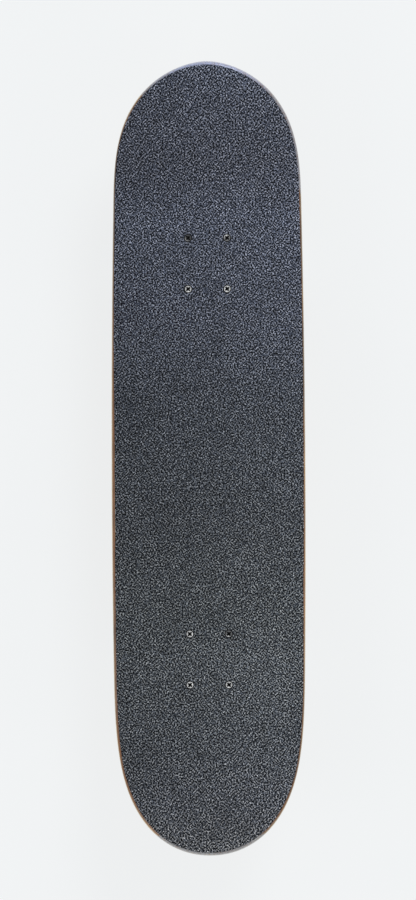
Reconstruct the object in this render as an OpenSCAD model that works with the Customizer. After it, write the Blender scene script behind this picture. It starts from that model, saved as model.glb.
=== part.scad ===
// Complete skateboard: a seven-ply maple deck with grip tape, two cast trucks
// with urethane bushings, and four urethane wheels on 608 ball bearings.
// Frame: +Z up, +Y towards the nose, X across the board, wheels standing on z = 0.

/* [What to draw] */

/* [Deck] */
// Plan length of the deck from the nose tip to the tail tip
deck_l = 823.4; // [815:0.2:832]
// Greatest width of the deck
deck_w = 205.2; // [201:0.2:209]
// Thickness of the seven-ply laminate
deck_t = 11; // [10:0.5:12]
// Thickness of the grip tape
grip_t = 1; // [0.8:0.1:1.2]
// Radius worked along the deck's upper edge
top_edge_r = 2.5; // [2:0.5:3]
// Radius worked along the deck's lower edge
low_edge_r = 4.5; // [3:0.5:5]
// Upward slope of the nose
nose_angle = 23; // [19:0.5:25]
// Upward slope of the tail
tail_angle = 22; // [19:0.5:25]
// Bending radius between the flat and each kick
bend_r = 150; // [110:5:170]
// Rise of the rails over the flat between the trucks
rail_rise = 7; // [5:0.5:9]
// Rise of the rails at the nose and tail
kick_rail_rise = 2.5; // [2:0.5:4]

/* [Truck positions] */
// Distance between the two inner rows of truck bolts
wheelbase = 365.1; // [360:0.1:368]
// How far the middle of the wheelbase sits from the middle of the deck, towards the nose
wheelbase_shift = -3; // [-5:0.5:0]
// Height of a truck, from the axle centre to the underside of the deck
truck_h = 53.5; // [53:0.5:55]

/* [Wheels] */
// Wheel diameter
wheel_d = 52; // [51:1:53]
// Wheel width over the urethane
wheel_w = 32; // [30:1:33]
// Radius of the rounded running edge
wheel_lip_r = 9; // [7:0.5:10]

/* [Fits] */
// Gap of a running or seating fit, on the radius
fit_gap = 0.04; // [0.02:0.01:0.06]

/* [Hidden] */
$fn = 96;
eps = 0.01;

// Heights
axle_z = wheel_d / 2;
under_z = axle_z + truck_h;
top_z = under_z + deck_t;

// Deck outline: the side line is a shallow parabola, each end a superellipse
side_bow = 3.4e-5;
side_mid_y = -29;
nose_reach = 152;
nose_p = 3.275;
nose_q = 1.787;
tail_reach = 197;
tail_p = 3.555;
tail_q = 2.075;
// Half width at which an end row takes over from the side line
end_half_w = 45;
// Half width of the strip that stays flat for the baseplates
flat_half_w = 30;
// Power of the curve that lifts the rails
rail_power = 1.8;
// Kick height over which the rails flatten out
rail_fade_h = 20;
rows = 50;
cols = 14;
// The outline is that of the layer at this depth, which juts out furthest
outline_depth = deck_t - low_edge_r;
// Inset and depth of the grip tape's cut edge, which is filed down over the deck's edge
grip_cut_inset = 0.8;
grip_cut_drop = 0.65;

// Truck bolts: 10-32 Phillips flat heads
bolt_pitch_x = 41.275;
bolt_pitch_y = 53.975;
bolt_d = 4.83;
bolt_l = 25.4;
bolt_head_d = 8.6;
bolt_head_h = 2.17;
bolt_sink = 0.2;
bolt_hole_d = 5.3;
grip_hole_d = 9;
nut_af = 9.53;
nut_h = 6;
truck_y = wheelbase / 2 + bolt_pitch_y / 2;
// The kick bends start this far beyond the centre of each truck
bend_start = 46;

// Truck side view: y outwards along the board, z down from the deck
plate_w = 57;
plate_l = 82;
plate_t = 6;
kingpin_lean = 25;
kingpin_d = 9.52;
ring_y = -11.5;
ring_z = -33.5;
ring_d = 32;
ring_t = 10;
seat_depth = 2.5;
washer_t = 1.5;
board_bushing_d = 24;
board_bushing_h = 15;
road_bushing_d = 22.5;
road_bushing_tip_d = 18.5;
road_bushing_h = 13;
// Distance up the kingpin from the hanger ring's centre to the baseplate's seat
seat_rise = ring_t / 2 + board_bushing_h - seat_depth + washer_t;
boss_d = 23;
seat_d = 26;
head_af = 14.29;
head_h = 5.6;
head_seat = 5.4;
kingpin_nut_h = 8.5;
kingpin_end = 3;

// Steering axis from the hanger ring up to the pivot
steer_rise = 33;
pivot_l = 45;
pivot_r = 4.8;
cup_wall = 2;
cup_mouth = 8;
cup_lip_t = 1.5;
cup_lip_d = 17;
pivot_boss_d = 21;
pivot_y = ring_y + pivot_l * cos(steer_rise);
pivot_z = ring_z + pivot_l * sin(steer_rise);

// Hanger and axle
axle_y = 6;
axle_d = 8;
axle_l = 203.2;
hanger_l = 139;
hanger_end_r = 6.8;
hanger_mid_r = 11;
axle_nut_af = 12.7;
axle_nut_h = 6;
speed_ring_t = 1;
speed_ring_d = 12;

// 608 bearing and the wheel hub
bearing_d = 22;
bearing_w = 7;
spacer_l = 10;
spacer_d = 10.8;
ball_d = 3.969;
ball_count = 7;
ball_pitch_r = (bearing_d + axle_d) / 4;
race_r = ball_d / 2 + 0.05;
inner_ring_r = 6.05;
outer_ring_r = 9.5;
shield_seat_r = 10;
shield_r = 6.4;
shield_t = 0.4;
cage_in_r = 6.5;
cage_out_r = 8.9;
hub_l = 2 * bearing_w + spacer_l;
hub_bore_r = 8.75;
dish_r = 16;
dish_floor_r = 11.5;
wheel_x = hanger_l / 2 + speed_ring_t + hub_l / 2;

// Colours
maple = "#b98a55";
grip_grey = "#4a4e54";
cast_metal = "#b5b7ba";
steel = "#9a9da1";
urethane = "#e9e4d6";
bushing_tint = "#d8b25a";
cup_black = "#1c1c1e";

// The sub-parts, one module each

// ---------- deck surface ----------

// Height gained on a kick, v past the start of its bend
function kick_rise(v, angle) =
    v <= 0 ? 0 :
    v < bend_r * sin(angle) ? bend_r - sqrt(bend_r * bend_r - v * v) :
    bend_r * (1 - cos(angle)) + (v - bend_r * sin(angle)) * tan(angle);

// Height of the centre line above the flat
function spine_z(y) =
    kick_rise(y - wheelbase_shift - truck_y - bend_start, nose_angle) +
    kick_rise(wheelbase_shift - truck_y - bend_start - y, tail_angle);

// Height above the flat at a point of the board
function skin_z(x, y) =
    spine_z(y) +
    (rail_rise + (kick_rail_rise - rail_rise) * min(1, spine_z(y) / rail_fade_h)) *
    pow(max(0, abs(x) - flat_half_w) / (deck_w / 2 - flat_half_w), rail_power);

// Upward normal there
function skin_normal(x, y) =
    let (h = 0.5,
         sx = (skin_z(x + h, y) - skin_z(x - h, y)) / (2 * h),
         sy = (skin_z(x, y + h) - skin_z(x, y - h)) / (2 * h),
         n = norm([sx, sy, 1]))
    [-sx / n, -sy / n, 1 / n];

// Point of the laminate: depth is measured from the top face along the normal
function skin_point(x, y, depth) =
    [x, y, top_z - outline_depth + skin_z(x, y)] -
    (depth - outline_depth) * skin_normal(x, y);

// Share of the full width left at d before an end
function end_share(d, reach, p, q) =
    d >= reach ? 1 : pow(1 - pow(1 - max(0, d) / reach, p), 1 / q);

// Distance before an end at which that share is reached
function end_distance(share, reach, p, q) =
    reach * (1 - pow(1 - pow(share, q), 1 / p));

function side_half_w(y) = deck_w / 2 - side_bow * pow(y - side_mid_y, 2);

// Half width of the outline at y
function half_w(y) =
    side_half_w(y) *
    end_share(deck_l / 2 - y, nose_reach, nose_p, nose_q) *
    end_share(deck_l / 2 + y, tail_reach, tail_p, tail_q);

// Outline y of the nose and of the tail at a half width x
function nose_y(x) =
    deck_l / 2 - end_distance(abs(x) / side_half_w(deck_l / 2), nose_reach, nose_p, nose_q);
function tail_y(x) =
    -deck_l / 2 + end_distance(abs(x) / side_half_w(-deck_l / 2), tail_reach, tail_p, tail_q);

// Row i runs from the tail (0) to the nose (rows), closer together at the ends
function row_pos(i) =
    let (v = 2 * i / rows - 1)
    0.55 * v + 0.45 * sin(90 * v);
function row_y(i) =
    tail_y(end_half_w) + (nose_y(end_half_w) - tail_y(end_half_w)) * (row_pos(i) + 1) / 2;
// How much of the end's roundness a row takes on
function row_bulge(i) = pow(max(0, abs(row_pos(i)) - 0.6) / 0.4, 2);

// Plan point of the grid; column 0 is the left rail, column cols the right one
function plan_point(i, j) =
    let (c = 2 * j / cols - 1,
         y = row_y(i),
         tip = i > rows / 2 ? nose_y(end_half_w * c) - nose_y(end_half_w)
                            : tail_y(end_half_w * c) - tail_y(end_half_w),
         w = i == rows || i == 0 ? end_half_w : half_w(y))
    [c * w, y + row_bulge(i) * tip];

// Border points in anticlockwise order: right rail, nose, left rail, tail
border = concat(
    [for (i = [0 : rows]) [i, cols]],
    [for (j = [cols - 1 : -1 : 1]) [rows, j]],
    [for (i = [rows : -1 : 0]) [i, 0]],
    [for (j = [1 : cols - 1]) [0, j]]
);
border_n = len(border);

function border_point(k) =
    let (b = border[(k + border_n) % border_n])
    plan_point(b[0], b[1]);

// Border point moved inwards
function inset_point(k, inset) =
    let (t = border_point(k + 1) - border_point(k - 1))
    border_point(k) - inset * [t[1], -t[0]] / norm(t);

// Place of a grid point on the border, counted along it
function border_index(i, j) =
    j == cols ? i :
    i == rows ? rows + cols - j :
    j == 0 ? 2 * rows + cols - i :
    2 * rows + cols + j;

function is_border(i, j) = i == 0 || i == rows || j == 0 || j == cols;

function grid_plan(i, j, inset) =
    is_border(i, j) ? inset_point(border_index(i, j), inset) : plan_point(i, j);

// Full sheet of grid points at one depth
function sheet_points(depth, inset) =
    [for (i = [0 : rows]) for (j = [0 : cols])
        let (p = grid_plan(i, j, inset)) skin_point(p[0], p[1], depth)];

// Triangles of a sheet whose points start at index a; up = true faces upwards
function sheet_faces(a, up) =
    [for (i = [0 : rows - 1]) for (j = [0 : cols - 1]) for (half = [0, 1])
        let (p = a + i * (cols + 1) + j,
             q = p + cols + 1,
             flip = j >= cols / 2,
             tri = flip ? (half == 0 ? [p, p + 1, q] : [p + 1, q + 1, q])
                        : (half == 0 ? [p, q + 1, q] : [p, p + 1, q + 1]))
        up ? tri : [tri[2], tri[1], tri[0]]];

// Index of border point k within a sheet that starts at index a
function sheet_border(a, k) =
    let (b = border[k % border_n])
    a + b[0] * (cols + 1) + b[1];

// Laminate or sheet between two depths, its edge following profile = [[inset, depth], ...]
module skin_solid(profile) {
    last = len(profile) - 1;
    sheet_n = (rows + 1) * (cols + 1);
    ring_points = [for (m = [1 : 1 : last - 1]) for (k = [0 : border_n - 1])
        let (p = inset_point(k, profile[m][0])) skin_point(p[0], p[1], profile[m][1])];
    points = concat(
        sheet_points(profile[0][1], profile[0][0]),
        sheet_points(profile[last][1], profile[last][0]),
        ring_points
    );
    function edge_index(m, k) =
        m == 0 ? sheet_border(0, k) :
        m == last ? sheet_border(sheet_n, k) :
        2 * sheet_n + (m - 1) * border_n + k % border_n;
    edge_faces = [for (m = [0 : last - 1]) for (k = [0 : border_n - 1]) for (half = [0, 1])
        let (a = edge_index(m, k),
             b = edge_index(m, k + 1),
             c = edge_index(m + 1, k + 1),
             d = edge_index(m + 1, k))
        half == 0 ? [a, c, b] : [a, d, c]];
    polyhedron(
        points = points,
        faces = concat(sheet_faces(0, true), sheet_faces(sheet_n, false), edge_faces),
        convexity = 6
    );
}

// ---------- placing ----------

// Truck frame: origin on the deck's underside, y outwards; end = 1 nose, -1 tail
module at_truck(end) {
    translate([0, wheelbase_shift + end * truck_y, under_z])
        rotate([0, 0, end > 0 ? 0 : 180])
            children();
}

// The four truck bolt positions
module at_bolts() {
    for (sx = [-1, 1])
        for (sy = [-1, 1])
            translate([sx * bolt_pitch_x / 2, sy * bolt_pitch_y / 2, 0])
                children();
}

// Kingpin frame: z up the pin, origin at the centre of the hanger ring
module on_kingpin() {
    translate([0, ring_y, ring_z])
        rotate([-kingpin_lean, 0, 0])
            children();
}

// Pivot frame: z up the steering axis, origin at the centre of the pivot's round end
module on_pivot() {
    translate([0, pivot_y, pivot_z])
        rotate([steer_rise - 90, 0, 0])
            children();
}

// Axle frame: z along the axle towards side = 1 right or -1 left, origin mid-truck
module on_axle(side) {
    translate([0, axle_y, -truck_h])
        rotate([0, side * 90, 0])
            children();
}

// Wheel frame: z outwards along the axle, origin at the wheel's centre
module at_wheel(end, side) {
    at_truck(end)
        on_axle(side * end)
            translate([0, 0, wheel_x])
                children();
}

// The two bearings of a wheel, each facing outwards
module at_bearings() {
    for (s = [-1, 1])
        rotate([s > 0 ? 0 : 180, 0, 0])
            translate([0, 0, (spacer_l + bearing_w) / 2])
                children();
}

// ---------- repeated shapes ----------

module tube(d_out, d_in, h) {
    difference() {
        cylinder(d = d_out, h = h);
        translate([0, 0, -1])
            cylinder(d = d_in, h = h + 2);
    }
}

// Hexagonal nut with chamfered corners and a round insert collar on top
module lock_nut(af, h, bore) {
    hex_h = h * 0.72;
    point_r = af / sqrt(3);
    difference() {
        union() {
            intersection() {
                cylinder(r = point_r, h = hex_h, $fn = 6);
                cylinder(r1 = point_r + hex_h - 0.6, r2 = af / 2 - 0.1, h = hex_h);
                translate([0, 0, -af])
                    cylinder(r1 = 0, r2 = point_r + 2 * hex_h, h = af + 2 * hex_h);
            }
            cylinder(d = af - 1.2, h = h);
        }
        translate([0, 0, -1])
            cylinder(d = bore, h = h + 2);
    }
}

module rounded_plate(w, l, t, r) {
    linear_extrude(t) {
        square([w - 2 * r, l], center = true);
        square([w, l - 2 * r], center = true);
        for (sx = [-1, 1])
            for (sy = [-1, 1])
                translate([sx * (w / 2 - r), sy * (l / 2 - r)])
                    circle(r);
    }
}

// ---------- deck and grip ----------

module deck() {
    bevel = 1 - sqrt(0.5);
    color(maple)
        difference() {
            skin_solid([
                [top_edge_r, 0],
                [bevel * top_edge_r, bevel * top_edge_r],
                [0, top_edge_r],
                [0, deck_t - low_edge_r],
                [bevel * low_edge_r, deck_t - bevel * low_edge_r],
                [low_edge_r, deck_t]
            ]);
            for (end = [-1, 1])
                at_truck(end)
                    at_bolts() {
                        translate([0, 0, -1])
                            cylinder(d = bolt_hole_d, h = deck_t + 2);
                        translate([0, 0, deck_t + grip_t - bolt_sink - bolt_head_h])
                            cylinder(
                                d1 = bolt_d,
                                d2 = bolt_head_d + 2 * fit_gap,
                                h = bolt_head_h + fit_gap
                            );
                    }
        }
}

module griptape() {
    // the underside lies just clear of the deck's bevelled edge
    under = (top_edge_r - grip_cut_inset - 0.2) * (sqrt(2) - 1) - 0.03;
    color(grip_grey)
        difference() {
            skin_solid([
                [top_edge_r + 0.2, -grip_t],
                [grip_cut_inset, grip_cut_drop - grip_t],
                [grip_cut_inset + 0.2, under],
                [top_edge_r, 0]
            ]);
            for (end = [-1, 1])
                at_truck(end)
                    at_bolts()
                        translate([0, 0, deck_t - 1])
                            cylinder(d = grip_hole_d, h = grip_t + 2);
        }
}

// ---------- truck ----------

module baseplate(end) {
    color(cast_metal)
        at_truck(end)
            difference() {
                union() {
                    translate([0, 0, -plate_t])
                        rounded_plate(plate_w, plate_l, plate_t, 7);
                    on_kingpin() {
                        translate([0, 0, seat_rise])
                            cylinder(d = seat_d, h = 2.5);
                        translate([0, 0, seat_rise + 1])
                            cylinder(d = boss_d, h = 18);
                    }
                    hull() {
                        on_kingpin()
                            translate([0, 0, seat_rise + 0.6])
                                cylinder(d = seat_d - 1.2, h = 1, $fn = 32);
                        translate([0, -9, -plate_t - 0.3])
                            rounded_plate(28, 30, 2, 5, $fn = 32);
                    }
                    on_pivot()
                        translate([0, 0, -cup_mouth])
                            cylinder(d = pivot_boss_d, h = cup_mouth + 6);
                    hull() {
                        on_pivot()
                            translate([0, 0, 0.7 - cup_mouth])
                                cylinder(d = pivot_boss_d - 1, h = 3, $fn = 32);
                        translate([0, 31, -plate_t - 0.3])
                            rounded_plate(24, 14, 2, 4, $fn = 32);
                    }
                }
                translate([-50, -60, 0])
                    cube([100, 120, 40]);
                at_bolts()
                    translate([0, 0, -20])
                        cylinder(d = bolt_hole_d, h = 30);
                on_kingpin() {
                    translate([0, 0, seat_rise - 1])
                        cylinder(d = kingpin_d + 2 * fit_gap, h = 20);
                    translate([0, 0, seat_rise + head_seat])
                        cylinder(d = (head_af + 0.3) * 2 / sqrt(3), h = 20, $fn = 6);
                }
                on_pivot() {
                    sphere(r = pivot_r + fit_gap + cup_wall);
                    translate([0, 0, -cup_mouth - 1])
                        cylinder(r = pivot_r + fit_gap + cup_wall, h = cup_mouth + 1);
                }
            }
}

module pivot_cup(end) {
    bore_r = pivot_r + fit_gap;
    wall_r = bore_r + cup_wall;
    color(cup_black)
        at_truck(end)
            on_pivot()
                difference() {
                    union() {
                        sphere(r = wall_r);
                        translate([0, 0, -cup_mouth - cup_lip_t])
                            cylinder(r = wall_r, h = cup_mouth + cup_lip_t);
                        translate([0, 0, -cup_mouth - cup_lip_t])
                            cylinder(d = cup_lip_d, h = cup_lip_t);
                    }
                    sphere(r = bore_r);
                    translate([0, 0, -cup_mouth - cup_lip_t - 1])
                        cylinder(r = bore_r, h = cup_mouth + cup_lip_t + 1);
                }
}

module kingpin(end) {
    foot = seat_depth - ring_t / 2 - road_bushing_h - washer_t - kingpin_nut_h - kingpin_end;
    head = seat_rise + head_seat;
    color(steel)
        at_truck(end)
            on_kingpin() {
                translate([0, 0, foot + 1])
                    cylinder(d = kingpin_d, h = head - foot);
                translate([0, 0, foot])
                    cylinder(d1 = kingpin_d - 2, d2 = kingpin_d, h = 1);
                translate([0, 0, head])
                    cylinder(d = head_af * 2 / sqrt(3), h = head_h, $fn = 6);
            }
}

module kingpin_nut(end) {
    color(steel)
        at_truck(end)
            on_kingpin()
                translate([0, 0, seat_depth - ring_t / 2 - road_bushing_h - washer_t])
                    rotate([180, 0, 0])
                        lock_nut(head_af, kingpin_nut_h, kingpin_d);
}

module boardside_bushing(end) {
    waist = board_bushing_d - 2.4;
    color(bushing_tint)
        at_truck(end)
            on_kingpin()
                translate([0, 0, ring_t / 2 - seat_depth])
                    difference() {
                        union() {
                            cylinder(d = board_bushing_d, h = 4);
                            translate([0, 0, 4])
                                cylinder(d1 = board_bushing_d, d2 = waist, h = board_bushing_h - 4);
                        }
                        translate([0, 0, -1])
                            cylinder(d = kingpin_d + 0.6, h = board_bushing_h + 2);
                    }
}

module roadside_bushing(end) {
    color(bushing_tint)
        at_truck(end)
            on_kingpin()
                translate([0, 0, seat_depth - ring_t / 2])
                    rotate([180, 0, 0])
                        difference() {
                            union() {
                                cylinder(d = road_bushing_d, h = 4);
                                translate([0, 0, 4])
                                    cylinder(
                                        d1 = road_bushing_d,
                                        d2 = road_bushing_tip_d,
                                        h = road_bushing_h - 4
                                    );
                            }
                            translate([0, 0, -1])
                                cylinder(d = kingpin_d + 0.6, h = road_bushing_h + 2);
                        }
}

// Cup washer: flat disc with a rolled rim that holds the bushing's end
module cup_washer(bushing_d) {
    rim_r = bushing_d / 2 + 0.1;
    difference() {
        cylinder(r = rim_r + 1, h = washer_t + 1.5);
        translate([0, 0, washer_t])
            cylinder(r = rim_r, h = 2);
        translate([0, 0, -1])
            cylinder(d = kingpin_d + 2 * fit_gap, h = washer_t + 2);
    }
}

module boardside_washer(end) {
    color(steel)
        at_truck(end)
            on_kingpin()
                translate([0, 0, seat_rise])
                    rotate([180, 0, 0])
                        cup_washer(board_bushing_d - 2.1);
}

module roadside_washer(end) {
    color(steel)
        at_truck(end)
            on_kingpin()
                translate([0, 0, seat_depth - ring_t / 2 - road_bushing_h - washer_t])
                    cup_washer(road_bushing_tip_d + 0.7);
}

module hanger(end) {
    half = hanger_l / 2;
    color(cast_metal)
        at_truck(end)
            difference() {
                union() {
                    on_axle(1)
                        rotate_extrude()
                            polygon([
                                [0, -half],
                                [hanger_end_r, -half],
                                [hanger_end_r + 1.4, -half + 8],
                                [hanger_mid_r - 1, -26],
                                [hanger_mid_r, -12],
                                [hanger_mid_r, 12],
                                [hanger_mid_r - 1, 26],
                                [hanger_end_r + 1.4, half - 8],
                                [hanger_end_r, half],
                                [0, half]
                            ]);
                    on_kingpin()
                        translate([0, 0, -ring_t / 2])
                            cylinder(d = ring_d, h = ring_t);
                    hull() {
                        on_kingpin()
                            translate([0, 0, -ring_t / 2 + 0.5])
                                cylinder(d = ring_d - 1, h = ring_t - 1, $fn = 32);
                        on_axle(1)
                            translate([0, 0, -24])
                                cylinder(r = hanger_mid_r - 2, h = 48, $fn = 32);
                    }
                    hull() {
                        on_pivot()
                            translate([0, 0, -17])
                                cylinder(r = pivot_r + 0.9, h = 5, $fn = 32);
                        on_axle(1)
                            translate([0, 0, -15])
                                cylinder(r = hanger_mid_r - 1.5, h = 30, $fn = 32);
                    }
                    on_pivot() {
                        sphere(r = pivot_r);
                        translate([0, 0, -17])
                            cylinder(r = pivot_r, h = 17);
                    }
                }
                on_kingpin() {
                    translate([0, 0, -30])
                        cylinder(r = 7, h = 60);
                    translate([0, 0, ring_t / 2 - seat_depth])
                        cylinder(d = board_bushing_d + 0.6, h = 4);
                    translate([0, 0, ring_t / 2])
                        cylinder(r = 14.2, h = 17);
                    translate([0, 0, ring_t / 2 + 17])
                        cylinder(r = 12.8, h = 15);
                    translate([0, 0, -ring_t / 2 + seat_depth - 4])
                        cylinder(d = road_bushing_d + 0.6, h = 4);
                    translate([0, 0, -ring_t / 2 - 26])
                        cylinder(r = 12.6, h = 26);
                }
                on_axle(1)
                    translate([0, 0, -half - 1])
                        cylinder(d = axle_d + 2 * fit_gap, h = hanger_l + 2);
            }
}

module axle(end) {
    chamfer = 0.8;
    color(steel)
        at_truck(end)
            on_axle(1) {
                translate([0, 0, -axle_l / 2 + chamfer])
                    cylinder(d = axle_d, h = axle_l - 2 * chamfer);
                translate([0, 0, -axle_l / 2])
                    cylinder(d1 = axle_d - 2 * chamfer, d2 = axle_d, h = chamfer);
                translate([0, 0, axle_l / 2 - chamfer])
                    cylinder(d1 = axle_d, d2 = axle_d - 2 * chamfer, h = chamfer);
            }
}

module axle_nuts(end) {
    color(steel)
        at_truck(end)
            for (side = [-1, 1])
                on_axle(side)
                    translate([0, 0, wheel_x + hub_l / 2 + speed_ring_t])
                        lock_nut(axle_nut_af, axle_nut_h, axle_d);
}

module speed_rings(end) {
    color(steel)
        at_truck(end)
            for (side = [-1, 1])
                on_axle(side)
                    for (x = [wheel_x - hub_l / 2 - speed_ring_t, wheel_x + hub_l / 2])
                        translate([0, 0, x])
                            tube(speed_ring_d, axle_d + 2 * fit_gap, speed_ring_t);
}

module deck_bolts(end) {
    top = deck_t + grip_t - bolt_sink;
    color(steel)
        at_truck(end)
            at_bolts()
                difference() {
                    union() {
                        translate([0, 0, top - bolt_l])
                            cylinder(d = bolt_d, h = bolt_l - bolt_head_h / 2);
                        translate([0, 0, top - bolt_head_h])
                            cylinder(d1 = bolt_d, d2 = bolt_head_d, h = bolt_head_h);
                    }
                    for (a = [45, 135])
                        rotate([0, 0, a])
                            translate([-2.3, -0.6, top - 1.8])
                                cube([4.6, 1.2, 3]);
                }
}

module deck_bolt_nuts(end) {
    color(steel)
        at_truck(end)
            at_bolts()
                translate([0, 0, -plate_t])
                    rotate([180, 0, 0])
                        lock_nut(nut_af, nut_h, bolt_d);
}

// ---------- wheel and bearings ----------

module wheel(end, side) {
    r = wheel_d / 2;
    h = wheel_w / 2;
    color(urethane)
        at_wheel(end, side)
            rotate_extrude()
                difference() {
                    union() {
                        translate([0, -h])
                            square([r - wheel_lip_r, wheel_w]);
                        translate([0, wheel_lip_r - h])
                            square([r, wheel_w - 2 * wheel_lip_r]);
                        for (s = [-1, 1])
                            translate([r - wheel_lip_r, s * (h - wheel_lip_r)])
                                circle(wheel_lip_r);
                    }
                    translate([0, -h - 1])
                        square([hub_bore_r, wheel_w + 2]);
                    for (s = [-1, 1]) {
                        translate([0, s > 0 ? spacer_l / 2 : -h - 1])
                            square([bearing_d / 2 + 0.01, h - spacer_l / 2 + 1]);
                        polygon([
                            [0, s * hub_l / 2],
                            [dish_floor_r, s * hub_l / 2],
                            [dish_r, s * h],
                            [dish_r, s * (h + 1)],
                            [0, s * (h + 1)]
                        ]);
                    }
                }
}

module outer_rings(end, side) {
    h = bearing_w / 2;
    color(steel)
        at_wheel(end, side)
            at_bearings()
                rotate_extrude()
                    difference() {
                        translate([outer_ring_r, -h])
                            square([bearing_d / 2 - outer_ring_r, bearing_w]);
                        translate([outer_ring_r - 1, h - 2 * shield_t])
                            square([shield_seat_r - outer_ring_r + 1, 1]);
                        translate([ball_pitch_r, 0])
                            circle(race_r);
                    }
}

module inner_rings(end, side) {
    h = bearing_w / 2;
    bore_r = axle_d / 2 + fit_gap;
    color(steel)
        at_wheel(end, side)
            at_bearings()
                rotate_extrude()
                    difference() {
                        translate([bore_r, -h])
                            square([inner_ring_r - bore_r, bearing_w]);
                        translate([ball_pitch_r, 0])
                            circle(race_r);
                    }
}

module balls(end, side) {
    color(steel)
        at_wheel(end, side)
            at_bearings()
                for (k = [0 : ball_count - 1])
                    rotate([0, 0, k * 360 / ball_count])
                        translate([ball_pitch_r, 0, 0])
                            sphere(d = ball_d);
}

module cages(end, side) {
    color(cup_black)
        at_wheel(end, side)
            at_bearings()
                difference() {
                    translate([0, 0, -2.9])
                        tube(2 * cage_out_r, 2 * cage_in_r, 3.6);
                    for (k = [0 : ball_count - 1])
                        rotate([0, 0, k * 360 / ball_count])
                            translate([ball_pitch_r, 0, 0])
                                sphere(r = race_r);
                }
}

module shields(end, side) {
    color(cast_metal)
        at_wheel(end, side)
            at_bearings()
                translate([0, 0, bearing_w / 2 - 2 * shield_t])
                    tube(2 * shield_seat_r, 2 * shield_r, shield_t);
}

module spacer(end, side) {
    color(cast_metal)
        at_wheel(end, side)
            translate([0, 0, -spacer_l / 2])
                tube(spacer_d, axle_d + 2 * fit_gap, spacer_l);
}

// ---------- the board ----------

deck();
griptape();
baseplate(1);  // front_baseplate
pivot_cup(1);  // front_pivot_cup
kingpin(1);  // front_kingpin
kingpin_nut(1);  // front_kingpin_nut
boardside_bushing(1);  // front_boardside_bushing
roadside_bushing(1);  // front_roadside_bushing
boardside_washer(1);  // front_boardside_washer
roadside_washer(1);  // front_roadside_washer
hanger(1);  // front_hanger
axle(1);  // front_axle
axle_nuts(1);  // front_axle_nuts
speed_rings(1);  // front_speed_rings
deck_bolts(1);  // front_deck_bolts
deck_bolt_nuts(1);  // front_deck_bolt_nuts
baseplate(-1);  // rear_baseplate
pivot_cup(-1);  // rear_pivot_cup
kingpin(-1);  // rear_kingpin
kingpin_nut(-1);  // rear_kingpin_nut
boardside_bushing(-1);  // rear_boardside_bushing
roadside_bushing(-1);  // rear_roadside_bushing
boardside_washer(-1);  // rear_boardside_washer
roadside_washer(-1);  // rear_roadside_washer
hanger(-1);  // rear_hanger
axle(-1);  // rear_axle
axle_nuts(-1);  // rear_axle_nuts
speed_rings(-1);  // rear_speed_rings
deck_bolts(-1);  // rear_deck_bolts
deck_bolt_nuts(-1);  // rear_deck_bolt_nuts
wheel(1, -1);  // front_left_wheel
outer_rings(1, -1);  // front_left_outer_rings
inner_rings(1, -1);  // front_left_inner_rings
balls(1, -1);  // front_left_balls
cages(1, -1);  // front_left_cages
shields(1, -1);  // front_left_shields
spacer(1, -1);  // front_left_spacer
wheel(1, 1);  // front_right_wheel
outer_rings(1, 1);  // front_right_outer_rings
inner_rings(1, 1);  // front_right_inner_rings
balls(1, 1);  // front_right_balls
cages(1, 1);  // front_right_cages
shields(1, 1);  // front_right_shields
spacer(1, 1);  // front_right_spacer
wheel(-1, -1);  // rear_left_wheel
outer_rings(-1, -1);  // rear_left_outer_rings
inner_rings(-1, -1);  // rear_left_inner_rings
balls(-1, -1);  // rear_left_balls
cages(-1, -1);  // rear_left_cages
shields(-1, -1);  // rear_left_shields
spacer(-1, -1);  // rear_left_spacer
wheel(-1, 1);  // rear_right_wheel
outer_rings(-1, 1);  // rear_right_outer_rings
inner_rings(-1, 1);  // rear_right_inner_rings
balls(-1, 1);  // rear_right_balls
cages(-1, 1);  // rear_right_cages
shields(-1, 1);  // rear_right_shields
spacer(-1, 1);  // rear_right_spacer
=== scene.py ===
"""Looks of the skateboard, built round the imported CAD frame. Metres, +Z up, +Y to the nose."""

import math

import bpy
import numpy as np
from mathutils import Matrix, Vector


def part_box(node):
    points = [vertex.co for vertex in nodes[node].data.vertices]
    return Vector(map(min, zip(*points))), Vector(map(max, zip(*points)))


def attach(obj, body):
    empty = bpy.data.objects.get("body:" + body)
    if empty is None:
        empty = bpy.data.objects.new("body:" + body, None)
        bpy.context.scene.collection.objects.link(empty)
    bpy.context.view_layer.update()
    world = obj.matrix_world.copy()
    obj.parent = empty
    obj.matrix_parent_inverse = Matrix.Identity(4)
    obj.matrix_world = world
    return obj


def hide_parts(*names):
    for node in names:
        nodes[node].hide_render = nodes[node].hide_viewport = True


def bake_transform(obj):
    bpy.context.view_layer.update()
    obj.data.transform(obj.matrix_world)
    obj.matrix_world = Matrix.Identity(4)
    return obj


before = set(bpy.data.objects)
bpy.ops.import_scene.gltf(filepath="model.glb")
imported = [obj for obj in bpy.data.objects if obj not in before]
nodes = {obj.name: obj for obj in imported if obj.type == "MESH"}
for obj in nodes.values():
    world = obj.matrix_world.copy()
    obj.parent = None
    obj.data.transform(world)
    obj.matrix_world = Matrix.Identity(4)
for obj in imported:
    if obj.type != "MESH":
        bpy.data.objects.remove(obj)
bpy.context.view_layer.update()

MM = 0.001
ENDS = (("front", 1), ("rear", -1))
SIDES = (("left", -1), ("right", 1))

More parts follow.
